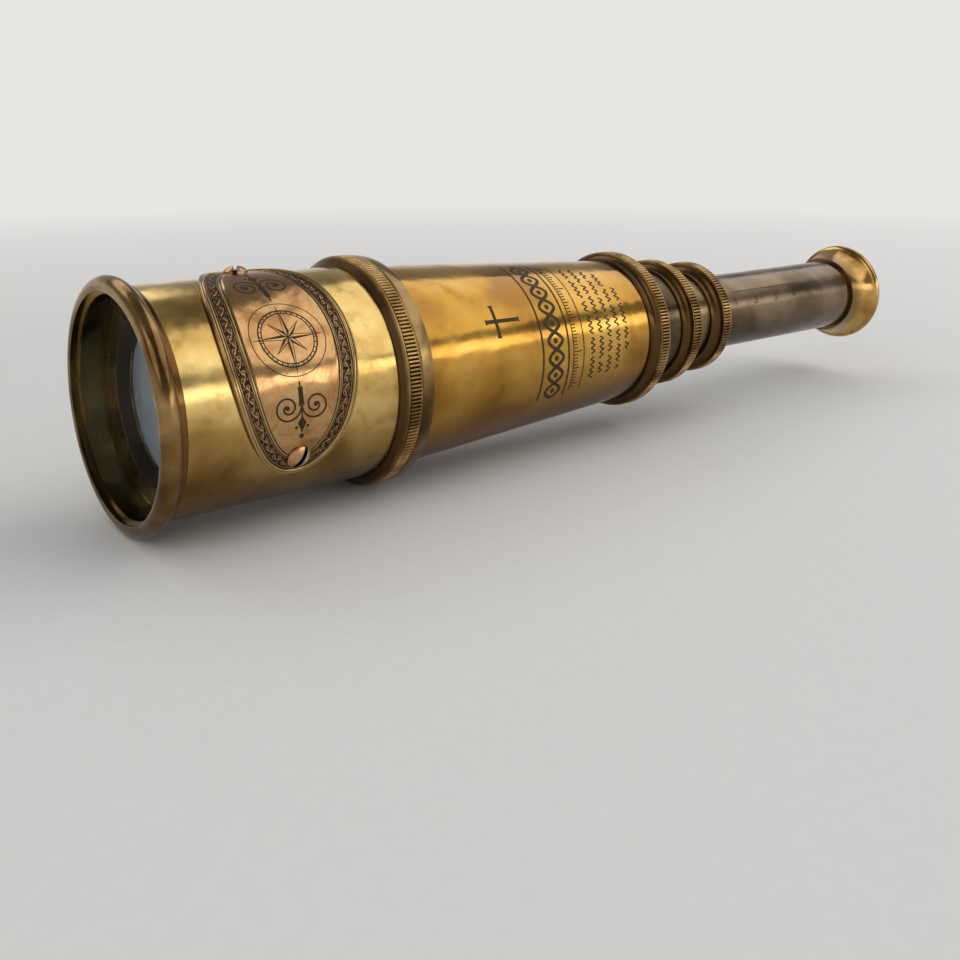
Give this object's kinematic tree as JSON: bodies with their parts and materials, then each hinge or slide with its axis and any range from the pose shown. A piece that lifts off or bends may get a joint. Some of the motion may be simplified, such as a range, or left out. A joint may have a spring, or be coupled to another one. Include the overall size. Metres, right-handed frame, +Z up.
{
  "type": "spyglass",
  "caption": "Brass hand spyglass: an open hood with a rolled rim and a screwed-on oval plate, a tapered barrel, knurled end rings, sliding draw tubes and a flared eye cup.",
  "frame": {"origin": "centre of the hood tube's front edge, on the optical axis, just inside the rolled rim", "axes": "+X along the optical axis from the objective to the eye, +Z up; the oval plate faces -Y and up"},
  "size_m": [0.2677, 0.056, 0.056],
  "materials": {
    "rim_brass": "worn, warm bronze tone with bright edges",
    "hood_brass": "polished with blotchy tarnish",
    "plate_brass": "engraved, dark in the border",
    "screw_brass": "dull with dark slots",
    "black_brass": "blackened against stray light",
    "optical_glass": "polished",
    "ring_bronze": "aged, bright on the knurl's teeth",
    "barrel_brass": "polished with brown tarnish and engraved lines",
    "guide_brass": "dull",
    "draw_bronze": "dark aged bronze tone",
    "eye_draw_bronze": "grey-brown tarnish with streaks along the tube",
    "cup_brass": "warm and worn bright at the edge"
  },
  "bodies": {
    "barrel": {"rim_ring": "rim_brass", "hood_tube": "hood_brass", "name_plate": "plate_brass", "plate_screws": "screw_brass", "objective_retaining_ring": "black_brass", "objective_crown_lens": "optical_glass", "objective_flint_lens": "optical_glass", "objective_cell": "black_brass", "coupling_ring": "ring_bronze", "barrel_collar": "ring_bronze", "barrel_tube": "barrel_brass", "barrel_end_ring": "ring_bronze", "barrel_guide": "guide_brass"},
    "draw_one": {"draw_one_tube": "draw_bronze", "draw_one_stop": "guide_brass", "draw_one_end_ring": "ring_bronze", "draw_one_guide": "guide_brass"},
    "draw_two": {"draw_two_tube": "draw_bronze", "draw_two_stop": "guide_brass", "draw_two_end_ring": "ring_bronze", "draw_two_guide": "guide_brass"},
    "draw_three": {"draw_three_tube": "eye_draw_bronze", "draw_three_stop": "guide_brass", "eye_cup": "cup_brass", "eyepiece_tube": "black_brass", "eye_lens": "optical_glass", "eye_lens_retainer": "black_brass", "field_stop": "black_brass", "field_lens": "optical_glass", "field_lens_retainer": "black_brass", "erector_tube": "guide_brass", "erector_front_cell": "black_brass", "erector_front_lens": "optical_glass", "erector_front_retainer": "black_brass", "erector_stop": "black_brass", "erector_rear_cell": "black_brass", "erector_rear_lens": "optical_glass", "erector_rear_retainer": "black_brass"}
  },
  "joints": [
    {"name": "draw_one_slide", "type": "slide", "parent": "barrel", "child": "draw_one", "axis": [1, 0, 0], "range_m": [-0.0115, 0.0729]},
    {"name": "draw_two_slide", "type": "slide", "parent": "draw_one", "child": "draw_two", "axis": [1, 0, 0], "range_m": [-0.0094, 0.072]},
    {"name": "draw_three_slide", "type": "slide", "parent": "draw_two", "child": "draw_three", "axis": [1, 0, 0], "range_m": [-0.0716, 0.0088]}
  ]
}
